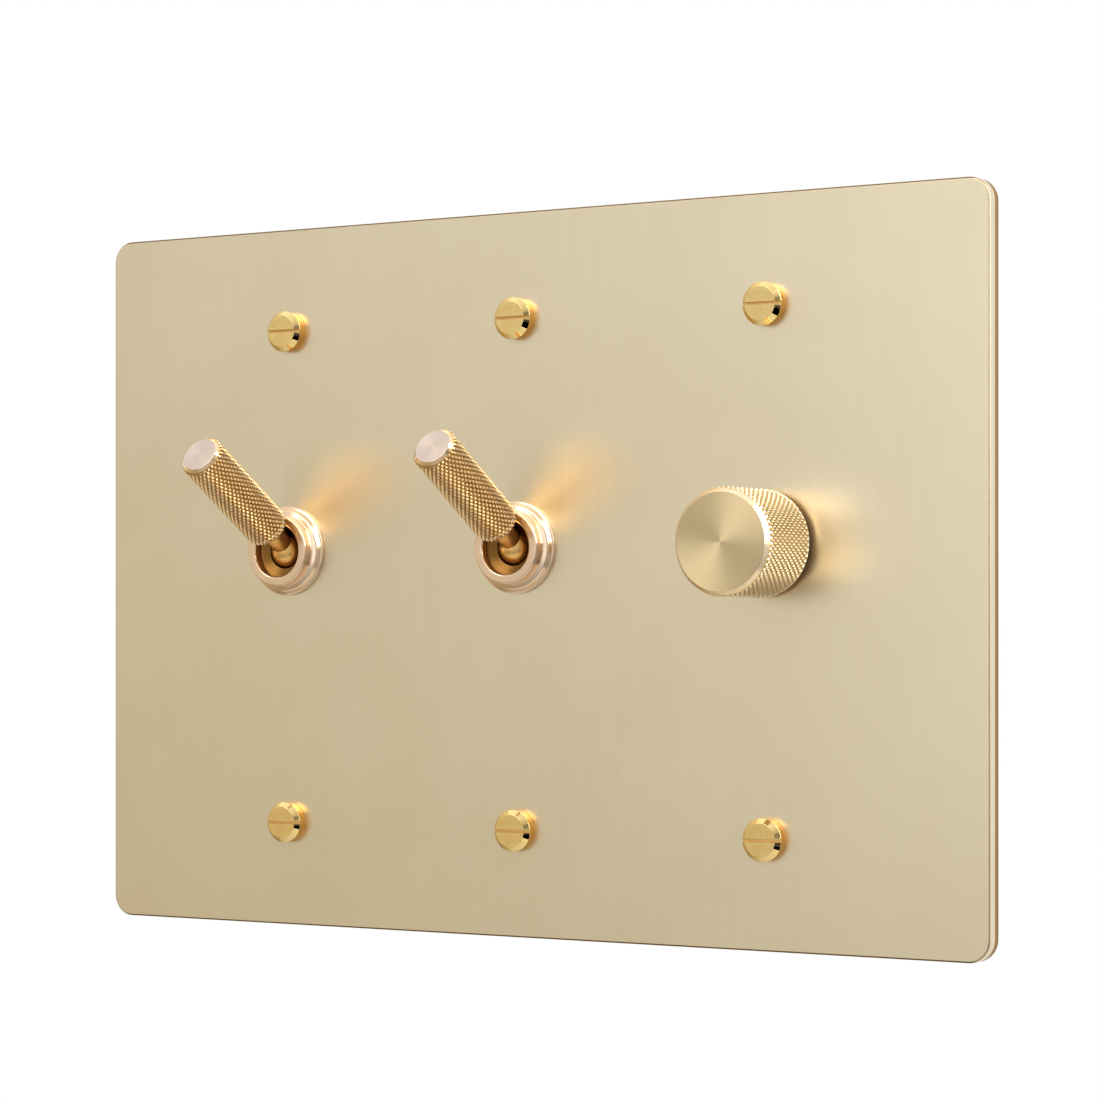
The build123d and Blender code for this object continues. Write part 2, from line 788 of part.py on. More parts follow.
def make_dimmer_case():
    """Moulded case with posts under the board, wire and screw holes, and two screw bosses."""
    boss_back = strap_back + dimmer_boss_depth
    case_outside = chamber_width + 2 * dimmer_case_wall
    case = moulded_case(case_outside, dimmer_case_height, dimmer_back)
    boss_span = dimmer_case_height + 2 * dimmer_boss_reach
    case += moulded_block(dimmer_boss_width, boss_span, strap_back, boss_back)
    case -= brick(chamber_width, chamber_height, strap_back, dimmer_floor)
    post = brick(board_post_width, board_post_height, board_back, dimmer_floor)
    for side in (-1, 1):
        for end in (-1, 1):
            across = side * (chamber_width - board_post_width) / 2
            up = end * (chamber_height - board_post_height) / 2
            case += Pos(across, 0, up) * post
        pilot = rod(case_screw_diameter + 2 * thread_clearance, strap_back, strap_back + case_screw_length)
        case -= Pos(0, 0, side * boss_centre) * pilot
    screw_hole = upright_rod(terminal_screw_access, -dimmer_case_height, -terminal_height)
    screw_hole = Pos(0, board_back + dimmer_terminal_depth / 2, 0) * screw_hole
    for place in terminal_rows:
        case -= place * (wire_entry(dimmer_floor, dimmer_back) + screw_hole)
    return case


def make_case_screws():
    """Countersunk screws through the strap into the case bosses."""
    end = strap_back + case_screw_length - case_screw_tip_room
    screw = countersunk(case_screw_diameter, case_screw_head_diameter, case_screw_head_height, end)
    return Pos(0, 0, -boss_centre) * screw + Pos(0, 0, boss_centre) * screw


def make_dimmer_strap():
    """Aluminium strap, folded back along both sides to shed the triac's heat."""
    plate = strap(dimmer_bush_diameter + 2 * panel_clearance)
    for side in (-1, 1):
        fin = brick(strap_thickness, fin_height, 0, strap_back + fin_depth)
        plate += Pos(side * (strap_width - strap_thickness) / 2, 0, 0) * fin
        hole = countersunk(
            case_screw_diameter,
            case_screw_head_diameter,
            case_screw_head_height,
            strap_back,
            thread_clearance,
        )
        plate -= Pos(0, 0, control_rise + side * boss_centre) * hole
    rivet_head = rivet_head_diameter + triac_hole_diameter - rivet_diameter
    hole = countersunk(triac_hole_diameter, rivet_head, rivet_head_height, strap_back, press_clearance)
    return plate - Pos(triac_hole_along, 0, control_rise + triac_offset[1]) * hole


def make_dimmer():
    """Push-and-turn dimmer with its knob out."""
    on_gang = Pos(gang_pitch, 0, 0)
    on_axis = Pos(gang_pitch, 0, control_rise)
    wire = return_spring_wire
    dimmer = {
        "bush": make_dimmer_bush(),
        "washer": make_washer(),
        "nut": make_nut(),
        "knob": make_knob(),
        "shaft": make_shaft(),
        "pot": make_pot(),
        "push_slider": make_slider(),
        "return_spring": coil(return_spring_diameter, wire, slider_back, board_front, return_spring_turns),
        "push_switch": make_push_switch(),
        "board": make_board(),
        "triac": make_triac(),
        "triac_rivet": make_triac_rivet(),
        "choke": make_choke(),
        "capacitor": make_capacitor(),
        "terminals": make_dimmer_terminals(),
        "terminal_screws": make_dimmer_terminal_screws(),
        "case": make_dimmer_case(),
        "case_screws": make_case_screws(),
    }
    for piece, solid in dimmer.items():
        pieces[f"dimmer_{piece}"] = on_axis * solid
    pieces["dimmer_strap"] = on_gang * make_dimmer_strap()


make_dimmer()

os.makedirs("parts", exist_ok=True)
for node, solid in pieces.items():
    export_step(solid, f"parts/{node}.step")
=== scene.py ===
import json
import math

import bpy
from mathutils import Matrix, Vector


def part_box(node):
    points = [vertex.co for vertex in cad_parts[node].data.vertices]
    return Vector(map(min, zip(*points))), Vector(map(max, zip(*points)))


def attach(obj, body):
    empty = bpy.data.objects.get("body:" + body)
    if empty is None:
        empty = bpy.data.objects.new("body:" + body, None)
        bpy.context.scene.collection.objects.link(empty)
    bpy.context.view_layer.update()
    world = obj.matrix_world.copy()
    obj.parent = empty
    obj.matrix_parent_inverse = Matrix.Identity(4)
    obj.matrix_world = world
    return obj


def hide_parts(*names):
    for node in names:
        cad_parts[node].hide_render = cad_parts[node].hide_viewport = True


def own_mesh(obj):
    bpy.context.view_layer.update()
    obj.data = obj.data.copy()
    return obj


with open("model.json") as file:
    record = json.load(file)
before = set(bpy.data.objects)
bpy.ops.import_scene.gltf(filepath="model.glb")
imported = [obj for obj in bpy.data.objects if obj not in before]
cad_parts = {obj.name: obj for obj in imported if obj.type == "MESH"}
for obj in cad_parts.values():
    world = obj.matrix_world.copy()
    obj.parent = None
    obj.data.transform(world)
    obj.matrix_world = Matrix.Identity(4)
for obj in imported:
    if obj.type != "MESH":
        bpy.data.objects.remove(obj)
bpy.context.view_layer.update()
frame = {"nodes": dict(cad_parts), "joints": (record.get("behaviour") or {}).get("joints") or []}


# Straps
# Each gang hangs on a strap behind the plate: zinc plated pressed steel for the toggles, and a
# folded aluminium one for the dimmer, which sheds its heat.
nodes = frame["nodes"]
mm = 0.001


class Wire:
    """A socket in a finish's nodes: arithmetic on it adds Math nodes, and make() adds any other."""

    def __init__(self, tree, socket=None):
        self.tree = tree
        self.socket = socket

    def feed(self, socket):
        """Link this wire into an input socket."""
        self.tree.links.new(self.socket, socket)

    def make(self, kind, settings, sockets, output=0):
        """Add a node: first its settings, then each socket's value or wire. Returns one output."""
        node = self.tree.nodes.new(kind)
        for name, value in settings.items():
            setattr(node, name, value)
        for name, value in sockets.items():
            if isinstance(value, Wire):
                value.feed(node.inputs[name])
            else:
                node.inputs[name].default_value = value
        return Wire(self.tree, node.outputs[output])

    def math(self, operation, first, second):
        """Add a Math node with two inputs."""
        return self.make("ShaderNodeMath", {"operation": operation}, {0: first, 1: second})

    def __add__(self, other):
        return self.math("ADD", self, other)

    def __radd__(self, other):
        return self.math("ADD", other, self)

    def __sub__(self, other):
        return self.math("SUBTRACT", self, other)

    def __rsub__(self, other):
        return self.math("SUBTRACT", other, self)

    def __mul__(self, other):
        return self.math("MULTIPLY", self, other)

    def __rmul__(self, other):
        return self.math("MULTIPLY", other, self)

    def tint(self, low, high):
        """Colour that goes from low to high as this value goes from 0 to 1."""
        factor, first_colour, second_colour, mixed_colour = 0, 6, 7, 2
        sockets = {factor: self, first_colour: low, second_colour: high}
        return self.make("ShaderNodeMix", {"data_type": "RGBA"}, sockets, mixed_colour)

    def span(self, low, high):
        """This value stretched so that low becomes 0 and high becomes 1, with soft ends."""
        sockets = {"Value": self, "From Min": low, "From Max": high}
        return self.make("ShaderNodeMapRange", {"interpolation_type": "SMOOTHSTEP"}, sockets)


def new_finish(name, constants):
    """A material with one shader, whose unvarying sockets are set directly."""
    material = bpy.data.materials.new(name)
    material.use_nodes = True
    shader = material.node_tree.nodes["Principled BSDF"]
    for socket, value in constants.items():
        shader.inputs[socket].default_value = value
    return material, Wire(material.node_tree), shader.inputs


def piece_place(wire):
    """Place of each point in the frame of its own piece, in metres."""
    return wire.make("ShaderNodeTexCoord", {}, {}, "Object")


def grain_noise(wire, stretch, detail=3.0):
    """Noise drawn out by counts per metre along each axis of the piece."""
    drawn = wire.make("ShaderNodeMapping", {}, {"Vector": piece_place(wire), "Scale": stretch})
    return wire.make("ShaderNodeTexNoise", {}, {"Vector": drawn, "Scale": 1.0, "Detail": detail})


def even_noise(wire, scale, detail=3.0):
    """Noise with the same count per metre along every axis."""
    return grain_noise(wire, (scale, scale, scale), detail)


def raise_bump(wire, height, distance, strength=1.0):
    """Surface direction over a small relief, whose full height is a distance in metres."""
    sockets = {"Strength": strength, "Distance": distance, "Height": height}
    return wire.make("ShaderNodeBump", {}, sockets)


def worked_metal(name, dark, light, roughness, stretch):
    """Bare or plated metal with drawn, milled or rolled grain and a slightly uneven tone."""
    cloud_scale = 400
    roughness_spread = 0.12
    grain_relief = 0.004 * mm
    material, wire, shader = new_finish(name, {"Metallic": 1.0})
    grain = grain_noise(wire, stretch)
    cloud = even_noise(wire, cloud_scale, detail=2.0)
    tone = 0.55 * grain.span(0.25, 0.75) + 0.45 * cloud.span(0.3, 0.7)
    tone.tint(dark, light).feed(shader["Base Color"])
    smoothest = roughness - roughness_spread / 2
    (smoothest + roughness_spread * grain.span(0.2, 0.8)).feed(shader["Roughness"])
    raise_bump(wire, grain, grain_relief).feed(shader["Normal"])
    return material


def clad(material, *names):
    """Give CAD nodes a finish."""
    for name in names:
        nodes[name].material_slots[0].material = material


zinc = worked_metal(
    "zinc_plate",
    dark=(0.47, 0.48, 0.50, 1),
    light=(0.66, 0.67, 0.68, 1),
    roughness=0.36,
    stretch=(300, 300, 900),
)
aluminium = worked_metal(
    "rolled_aluminium",
    dark=(0.48, 0.48, 0.49, 1),
    light=(0.62, 0.62, 0.63, 1),
    roughness=0.38,
    stretch=(4000, 4000, 90),
)
clad(zinc, "left_strap", "middle_strap")
clad(aluminium, "dimmer_strap")


# Toggle mechanisms
# Behind each strap a black moulded case, riveted on, holds the brass terminals with their clamp
# screws and the rocking contact that the lever's sprung nylon plunger throws over.
toggles = ("left", "middle")


def moulded(name, colour, roughness):
    """Moulded plastic with a fine eroded texture and a faint, paler flow pattern."""
    pit_scale = 7000
    pit_relief = 0.02 * mm
    flow_stretch = (120, 120, 60)
    paling = 1.35
    paling_lift = 0.004
    roughness_spread = 0.16
    material, wire, shader = new_finish(name, {"IOR": 1.5})
    pits = even_noise(wire, pit_scale, detail=2.0)
    flow = grain_noise(wire, flow_stretch)
    pale = tuple(channel * paling + paling_lift for channel in colour[:3]) + (1,)
    flow.span(0.3, 0.75).tint(colour, pale).feed(shader["Base Color"])
    (roughness + roughness_spread * pits.span(0.3, 0.7)).feed(shader["Roughness"])
    raise_bump(wire, pits, pit_relief, strength=0.6).feed(shader["Normal"])
    return material


black_plastic = moulded("black_phenolic", colour=(0.016, 0.016, 0.018, 1), roughness=0.40)
white_plastic = moulded("white_nylon", colour=(0.72, 0.71, 0.67, 1), roughness=0.38)
milled_brass = worked_metal(
    "milled_brass",
    dark=(0.56, 0.40, 0.16, 1),
    light=(0.78, 0.60, 0.29, 1),
    roughness=0.30,
    stretch=(900, 5000, 900),
)
silver = worked_metal(
    "coined_silver",
    dark=(0.70, 0.69, 0.66, 1),
    light=(0.88, 0.87, 0.84, 1),
    roughness=0.26,
    stretch=(2500, 2500, 2500),
)
ground_steel = worked_metal(
    "ground_steel",
    dark=(0.42, 0.42, 0.43, 1),
    light=(0.60, 0.60, 0.61, 1),
    roughness=0.24,
    stretch=(6000, 600, 600),
)
spring_wire = worked_metal(
    "spring_wire",
    dark=(0.30, 0.29, 0.28, 1),
    light=(0.48, 0.47, 0.46, 1),
    roughness=0.30,
    stretch=(3000, 3000, 3000),
)
for side in toggles:
    clad(black_plastic, f"{side}_case")
    clad(white_plastic, f"{side}_plunger")
    clad(milled_brass, f"{side}_rocker", f"{side}_common_terminal", f"{side}_contact_terminals")
    clad(silver, f"{side}_rocker_contacts")
    clad(zinc, f"{side}_terminal_screws", f"{side}_case_rivets")
    clad(ground_steel, f"{side}_pivot_pin")
    clad(spring_wire, f"{side}_plunger_spring")


# Bushes and levers
# The threaded bush carries the lever's ball on a cross pin. Both are turned from bar and gold
# plated, and only the dished mouth and the stem show inside the bezel.
def turned_gold(name, dark, light, roughness, stretch):
    """Satin gold plate over tool marks that run round a piece turned about one of its axes."""
    roughness_spread = 0.10
    mark_relief = 0.006 * mm
    material, wire, shader = new_finish(name, {"Metallic": 1.0})
    marks = grain_noise(wire, stretch)
    marks.span(0.3, 0.7).tint(dark, light).feed(shader["Base Color"])
    (roughness + roughness_spread * marks).feed(shader["Roughness"])
    raise_bump(wire, marks, mark_relief, strength=0.5).feed(shader["Normal"])
    return material


# Painted shade: the bush's gold is made very dark, so that the dished mouth inside the bezel reads as
# shadow
bush_gold_painted_shade = turned_gold(
    "bush_gold_painted_shade",
    dark=(0.16, 0.072, 0.015, 1),
    light=(0.24, 0.115, 0.028, 1),
    roughness=0.24,
    stretch=(60, 4000, 60),
)
stem_gold = turned_gold(
    "stem_gold",
    dark=(0.84, 0.50, 0.15, 1),
    light=(0.93, 0.60, 0.22, 1),
    roughness=0.26,
    stretch=(60, 3400, 2100),
)
clad(bush_gold_painted_shade, "left_bush", "middle_bush", "dimmer_bush", "dimmer_nut")
clad(stem_gold, "left_lever", "middle_lever")


# Dimmer mechanism
# The knob's steel shaft turns a sealed grey potentiometer and pushes a switch on the circuit board
# against a coiled spring. The board also carries a film capacitor, a wound choke and the triac.
def along(wire, axis):
    """How far each point stands along one axis of its piece, in metres. Y is depth in a CAD node."""
    return wire.make("ShaderNodeSeparateXYZ", {}, {"Vector": piece_place(wire)}, axis)


def board_laminate():
    """Green lacquered glass laminate with a woven grain, and paler copper tracks under the lacquer."""
    track_scale = 320
    track_relief = 0.03 * mm
    weave_scale = 1800
    lacquer = (0.012, 0.10, 0.035, 1)
    lacquered_copper = (0.05, 0.22, 0.07, 1)
    material, wire, shader = new_finish("board_laminate", {"IOR": 1.52})
    sockets = {"Vector": piece_place(wire), "Scale": track_scale}
    tracks = wire.make("ShaderNodeTexVoronoi", {"feature": "DISTANCE_TO_EDGE"}, sockets)
    copper = 1 - tracks.span(0.05, 0.09)
    copper.tint(lacquer, lacquered_copper).feed(shader["Base Color"])
    weave = even_noise(wire, weave_scale, detail=1.0)
    (0.26 + 0.14 * weave).feed(shader["Roughness"])
    raise_bump(wire, copper + 0.3 * weave, track_relief).feed(shader["Normal"])
    return material


def wound_choke(name):
    """Enamelled copper turns between two ferrite flanges."""
    flange = 1.2 * mm
    flange_blend = 0.1 * mm
    turn_scale = 800
    turn_relief = 0.12 * mm
    ferrite = (0.02, 0.02, 0.022, 1)
    enamelled_copper = (0.42, 0.13, 0.05, 1)
    material, wire, shader = new_finish("wound_choke", {"IOR": 1.5})
    low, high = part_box(name)
    depth = along(wire, "Y")
    clear_of_front = (depth - low.y).span(flange, flange + flange_blend)
    clear_of_back = (high.y - depth).span(flange, flange + flange_blend)
    wound = clear_of_front * clear_of_back
    settings = {"wave_type": "BANDS", "bands_direction": "Y"}
    sockets = {"Vector": piece_place(wire), "Scale": turn_scale}
    wave_height = 1
    turns = wire.make("ShaderNodeTexWave", settings, sockets, wave_height)
    wound.tint(ferrite, enamelled_copper).feed(shader["Base Color"])
    wound.feed(shader["Metallic"])
    (0.5 - 0.2 * wound).feed(shader["Roughness"])
    raise_bump(wire, turns * wound, turn_relief).feed(shader["Normal"])
    return material


def power_switch(name):
    """Triac: a black moulded body with its tinned mounting tab against the strap."""
    tab_thickness = 1.3 * mm
    tab_blend = 0.05 * mm
    pit_scale = 6000
    pit_relief = 0.015 * mm
    moulding = (0.02, 0.02, 0.022, 1)
    tinning = (0.62, 0.62, 0.60, 1)
    material, wire, shader = new_finish("power_switch", {"IOR": 1.5})
    low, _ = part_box(name)
    from_strap = along(wire, "Y") - low.y
    tab = 1 - from_strap.span(tab_thickness - tab_blend, tab_thickness + tab_blend)
    pits = even_noise(wire, pit_scale, detail=2.0)
    tab.tint(moulding, tinning).feed(shader["Base Color"])
    tab.feed(shader["Metallic"])
    (0.34 + 0.14 * pits).feed(shader["Roughness"])
    raise_bump(wire, pits, pit_relief, strength=0.6).feed(shader["Normal"])
    return material


def skin(name, rings, closed=False):
    """Mesh through rings of points, in millimetres. A ring of one point closes an end."""
    vertices = [tuple(mm * value for value in point) for row in rings for point in row]
    starts = [sum(len(row) for row in rings[:index]) for index in range(len(rings))]
    pairs = list(zip(range(len(rings) - 1), range(1, len(rings))))
    if closed:
        pairs.append((len(rings) - 1, 0))

    def numbers(row, *places):
        """Vertex numbers at those places in a ring, or the number of its only point."""
        if len(rings[row]) == 1:
            return [starts[row]]
        return [starts[row] + place for place in places]

    faces = []
    for lower, upper in pairs:
        count = max(len(rings[lower]), len(rings[upper]))
        for index in range(count):
            after = (index + 1) % count
            faces.append(numbers(lower, index, after) + numbers(upper, after, index))
    mesh = bpy.data.meshes.new(name)
    mesh.from_pydata(vertices, [], faces)
    return mesh


def smooth(mesh, crease):
    """Smooth shading, broken at edges sharper than the crease angle in degrees."""
    mesh.shade_smooth()
    mesh.set_sharp_from_angle(angle=math.radians(crease))


def seat_on(name, depth):
    """Point in line with the middle of a CAD node, at that depth."""
    low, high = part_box(name)
    return Vector(((low.x + high.x) / 2, depth, (low.z + high.z) / 2))


def stand(name, mesh, place, tilt, body, slot, *replaced):
    """Put a piece that is turned about its Z axis in place, leaning out of the plate by the tilt."""
    piece = bpy.data.objects.new(name, mesh)
    bpy.context.scene.collection.objects.link(piece)
    piece.matrix_world = Matrix.Translation(place) @ Matrix.Rotation(tilt, 4, "X")
    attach(piece, body)
    if replaced:
        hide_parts(*replaced)
    return piece


grey_plastic = moulded("grey_thermoset", colour=(0.13, 0.135, 0.14, 1), roughness=0.36)
yellow_box = moulded("yellow_film_box", colour=(0.62, 0.44, 0.05, 1), roughness=0.30)
clad(grey_plastic, "dimmer_pot")
clad(yellow_box, "dimmer_capacitor")
clad(black_plastic, "dimmer_push_switch", "dimmer_case")
clad(white_plastic, "dimmer_push_slider")
clad(board_laminate(), "dimmer_board")
clad(wound_choke("dimmer_choke"), "dimmer_choke")
clad(power_switch("dimmer_triac"), "dimmer_triac")
clad(milled_brass, "dimmer_terminals")
clad(zinc, "dimmer_washer", "dimmer_triac_rivet", "dimmer_terminal_screws", "dimmer_case_screws")
clad(ground_steel, "dimmer_shaft")

facing_out = math.radians(90)
wire_radius = 0.3
wire_sides = 10
spring_turns = 4
turn_steps = 24
round_crease = 40
coil_steps = spring_turns * turn_steps
spring_low, spring_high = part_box("dimmer_return_spring")
spring_length = (spring_high.y - spring_low.y) / mm
coil_radius = (spring_high.x - spring_low.x) / 2 / mm - wire_radius
coil_rise = spring_length - 2 * wire_radius
spring_rings = [[(coil_radius, 0, wire_radius)]]
for step in range(coil_steps + 1):
    turn = 2 * math.pi * step / turn_steps
    lift = wire_radius + coil_rise * step / coil_steps
    section = []
    for corner in range(wire_sides):
        swing = 2 * math.pi * corner / wire_sides
        reach = coil_radius + wire_radius * math.cos(swing)
        height = lift - wire_radius * math.sin(swing)
        section.append((reach * math.cos(turn), reach * math.sin(turn), height))
    spring_rings.append(section)
spring_rings.append([(coil_radius, 0, wire_radius + coil_rise)])
spring_mesh = skin("return_coil", spring_rings)
smooth(spring_mesh, round_crease)
spring_mesh.materials.append(spring_wire)
spring_seat = seat_on("dimmer_return_spring", spring_high.y)
spring = stand(
    "dimmer_coil_spring",
    spring_mesh,
    spring_seat,
    facing_out,
    "root",
    "spring_steel",
    "dimmer_return_spring",
)
push_travel = next(joint["range_m"][1] for joint in frame["joints"] if joint["name"] == "dimmer_push")
pressed = 1 - push_travel / (spring_length * mm)
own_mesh(spring)


# Face plate
# One sheet of brass for all three gangs, with a softly rounded front edge. It is brushed from
# top to bottom, lacquered, and clamped to the straps by the six screws.
plate_low, plate_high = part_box("face_plate")
plate_front = plate_low.y
plate_back = plate_high.y
plate_top = plate_high.z


def brushed_brass():
    """Champagne brass, brushed upright, with a line of painted shade round its front edge, darkest along
    the top and bottom, and a dark band at the back of its edge.
    """
    hairline_stretch = (5200, 400, 40)
    streak_stretch = (900, 100, 18)
    mottle_scale = 55
    brush_relief = 0.0009 * mm
    champagne = (0.735, 0.643, 0.458, 1), (0.760, 0.673, 0.494, 1)
    side_edge_shade = (0.46, 0.34, 0.20, 1)
    top_bottom_edge_shade = (0.15, 0.085, 0.024, 1)
    rear_band_colours = (0.30, 0.155, 0.025, 1), (0.14, 0.062, 0.006, 1)
    # Where each band begins and ends to fade in or out
    edge_shade_in = plate_front + 0.0002 * mm, plate_front + 0.006 * mm
    edge_shade_out = plate_front + 0.14 * mm, plate_front + 0.22 * mm
    rear_band_in = plate_back - 1.35 * mm, plate_back - 1.20 * mm
    darkest_in = plate_back - 0.45 * mm, plate_back - 0.30 * mm
    rear_band_out = plate_back - 0.06 * mm, plate_back - 0.01 * mm
    top_bottom_shade_in = (plate_top - 0.35 * mm) ** 2, (plate_top - 0.25 * mm) ** 2
    material, wire, shader = new_finish("brushed_brass", {"Metallic": 1.0, "Anisotropic": 0.4})
    hairline = grain_noise(wire, hairline_stretch)
    streak = grain_noise(wire, streak_stretch)
    mottle = even_noise(wire, mottle_scale)
    tone = 0.45 * hairline + 0.15 * streak + 0.40 * mottle
    face = tone.span(0.3, 0.7).tint(*champagne)
    depth = along(wire, "Y")
    rise = along(wire, "Z")
    # The rear part of the edge is tinted dark brown, darkest at the very back
    rear_band = depth.span(*rear_band_in) * (1 - depth.span(*rear_band_out))
    # Painted shade: a thin dark line on the front edge's rounding, much darker along the top and bottom
    # edges
    front_edge_shade = depth.span(*edge_shade_in) * (1 - depth.span(*edge_shade_out))
    edge_shade_colour = (rise * rise).span(*top_bottom_shade_in).tint(side_edge_shade, top_bottom_edge_shade)
    front = front_edge_shade.tint(face, edge_shade_colour)
    edge = depth.span(*darkest_in).tint(*rear_band_colours)
    (0.85 * rear_band + 0.15 * rear_band * hairline).tint(front, edge).feed(shader["Base Color"])
    (0.27 + 0.04 * hairline + 0.05 * mottle + 0.12 * rear_band).feed(shader["Roughness"])
    raise_bump(wire, hairline, brush_relief, strength=0.4).feed(shader["Normal"])
    return material


clad(brushed_brass(), "face_plate")


# Bezels
# Dress nuts on the bushes clamp the plate. Each is turned from champagne brass in one setting:
# a base rim, a rounded shoulder, a neck and a lip that leans over the bush.
def rounded(corners, steps=7):
    """Points of a profile of (radius, height, rounding) corners, with arcs at the rounded ones."""
    points = []
    for index, (radius, height, rounding) in enumerate(corners):
        here = Vector((radius, height))
        if not rounding:
            points.append(here)
            continue
        back = (Vector(corners[index - 1][:2]) - here).normalized()
        ahead = (Vector(corners[(index + 1) % len(corners)][:2]) - here).normalized()
        half = back.angle(ahead) / 2
        centre = here + (back + ahead).normalized() * rounding / math.sin(half)
        start = here + back * rounding / math.tan(half) - centre
        end = here + ahead * rounding / math.tan(half) - centre
        for step in range(steps + 1):
            points.append(centre + start.lerp(end, step / steps).normalized() * rounding)
    return points


def held(points):
    """The same profile with a point near each end of its long runs, so that flats shade flat."""
    hold = 0.06
    long_run = 3 * hold
    kept = [points[0]]
    for start, end in zip(points, points[1:]):
        run = (end - start).length
        if run > long_run:
            kept += [start.lerp(end, hold / run), end.lerp(start, hold / run)]
        kept.append(end)
    return kept


def ring(radius, height, count):
    """One ring of points about the local Z axis, in millimetres."""
    turns = [2 * math.pi * index / count for index in range(count)]
    return [(radius * math.cos(turn), radius * math.sin(turn), height) for turn in turns]


def lathe(points, count):
    """Rings through the points of a profile."""
    return [ring(point.x, point.y, count) for point in points]


def from_axis(wire):
    """Distance of each point of a turned piece from its Z axis, in metres."""
    sockets = {0: piece_place(wire), 1: (1, 1, 0)}
    flat = wire.make("ShaderNodeVectorMath", {"operation": "MULTIPLY"}, sockets)
    return wire.make("ShaderNodeVectorMath", {"operation": "LENGTH"}, {0: flat}, "Value")


def turned_brass(name, dark, light, roughness, anisotropic):
    """Turned brass with fine circular tool marks, which draw its highlights out across the marks."""
    mark_scale = 7000
    mark_relief = 0.0006 * mm
    cloud_scale = 250
    roughness_spread = 0.06
    constants = {"Metallic": 1.0, "Anisotropic": anisotropic, "Anisotropic Rotation": 0.25}
    material, wire, shader = new_finish(name, constants)
    sockets = {"X": mark_scale * from_axis(wire), "Y": mark_scale * along(wire, "Z")}
    profile = wire.make("ShaderNodeCombineXYZ", {}, sockets)
    marks = wire.make("ShaderNodeTexNoise", {}, {"Vector": profile, "Scale": 1.0, "Detail": 3.0})
    cloud = even_noise(wire, cloud_scale, detail=2.0)
    (0.5 * marks + 0.5 * cloud).span(0.3, 0.7).tint(dark, light).feed(shader["Base Color"])
    (roughness - roughness_spread / 2 + roughness_spread * marks).feed(shader["Roughness"])
    raise_bump(wire, marks, mark_relief, strength=0.4).feed(shader["Normal"])
    return material


bezel_bore = 5.35
bezel_base = 7.5
base_height = 0.6
step_radius = 7.2
step_height = 0.75
shoulder_radius = 6.9
shoulder_height = 1.5
bezel_neck = 6.025
neck_foot = 1.75
bezel_mouth = 4.5
bezel_top = 3.6
lip_bottom = 2.2
lip_round = 0.3
bezel_points = 192
# Radius, height and rounding of each corner
bezel_corners = [
    (bezel_bore, 0, 0),
    (bezel_base, 0, 0.06),
    (bezel_base, base_height, 0.1),
    (step_radius, step_height, 0.05),
    (shoulder_radius, shoulder_height, 0.5),
    (bezel_neck, neck_foot, 0.15),
    (bezel_neck, bezel_top, lip_round),
    (bezel_mouth, bezel_top, lip_round),
    (bezel_mouth, lip_bottom, 0.1),
    (bezel_bore, lip_bottom, 0),
]
bezel_mesh = skin("bezel", lathe(held(rounded(bezel_corners)), bezel_points), closed=True)
smooth(bezel_mesh, round_crease)
bezel_brass = turned_brass(
    "turned_champagne",
    dark=(0.78, 0.56, 0.38, 1),
    light=(0.87, 0.66, 0.47, 1),
    roughness=0.22,
    anisotropic=0.8,
)
bezel_mesh.materials.append(bezel_brass)
for side in toggles:
    seat = seat_on(f"{side}_bezel", plate_front)
    stand(f"{side}_turned_bezel", bezel_mesh, seat, facing_out, "root", "bezel_brass", f"{side}_bezel")


# Grips
# Brass grips pressed on the lever stems. Each is diamond knurled over its whole side, with a
# rounded foot, then faced flat and given a polished bevel that cuts the knurl into scallops.
knurl_steps = 8
knurl_crease = 24
paint_margin = 0.01


def knurl_height(turn, along_side):
    """Height from 0 in a groove to 1 on a flattened tip, at places counted in diamonds."""
    flat_tip = 0.375
    rises = [abs(cut - round(cut)) for cut in (turn + along_side, turn - along_side)]
    return min(rises[0], rises[1], flat_tip) / flat_tip


def knurled_rings(profile, diamonds, pitch, depth):
    """Rings along a profile of (radius, height, tips) points, cut by grooves into tips of that radius."""
    count = diamonds * knurl_steps
    rings = []
    run = 0.0
    for index, (radius, height, tips) in enumerate(profile):
        if index:
            run += math.hypot(radius - profile[index - 1][0], height - profile[index - 1][1])
        row = []
        for step in range(count):
            turn = 2 * math.pi * step / count
            lowered = depth * (1 - knurl_height(step / knurl_steps, run / pitch))
            reach = min(radius, tips - lowered)
            row.append((reach * math.cos(turn), reach * math.sin(turn), height))
        rings.append(row)
    return rings


def knurled_brass(name, groove_shade, tip_highlight, roughness, radius, depth, plain_end):
    """Knurled brass with painted light: grooves darkened as painted shade and tips paled as painted
    highlight, told apart by their distance from the axis.
    """
    groove_reach = (radius - 0.8 * depth) * mm
    tip_reach = (radius - 0.05 * depth) * mm
    plain_blend = 0.2
    fine_scale = 2600
    fine_relief = 0.004 * mm
    material, wire, shader = new_finish(name, {"Metallic": 1.0})
    beyond_foot = along(wire, "Z").span((plain_end - plain_blend) * mm, (plain_end + plain_blend) * mm)
    groove_shade_amount = (1 - from_axis(wire).span(groove_reach, tip_reach)) * beyond_foot
    fine = even_noise(wire, fine_scale)
    # Painted shade in the grooves and painted highlight on the tips
    (0.85 * groove_shade_amount + 0.15 * fine).tint(tip_highlight, groove_shade).feed(shader["Base Color"])
    (roughness + 0.10 * fine + 0.10 * groove_shade_amount).feed(shader["Roughness"])
    raise_bump(wire, fine, fine_relief, strength=0.5).feed(shader["Normal"])
    return material


def dress(mesh, choose, *finishes):
    """Give each face the finish whose number choose returns for its centre, in millimetres."""
    for finish in finishes:
        mesh.materials.append(finish)
    for face in mesh.polygons:
        face.material_index = choose(face.center / mm)


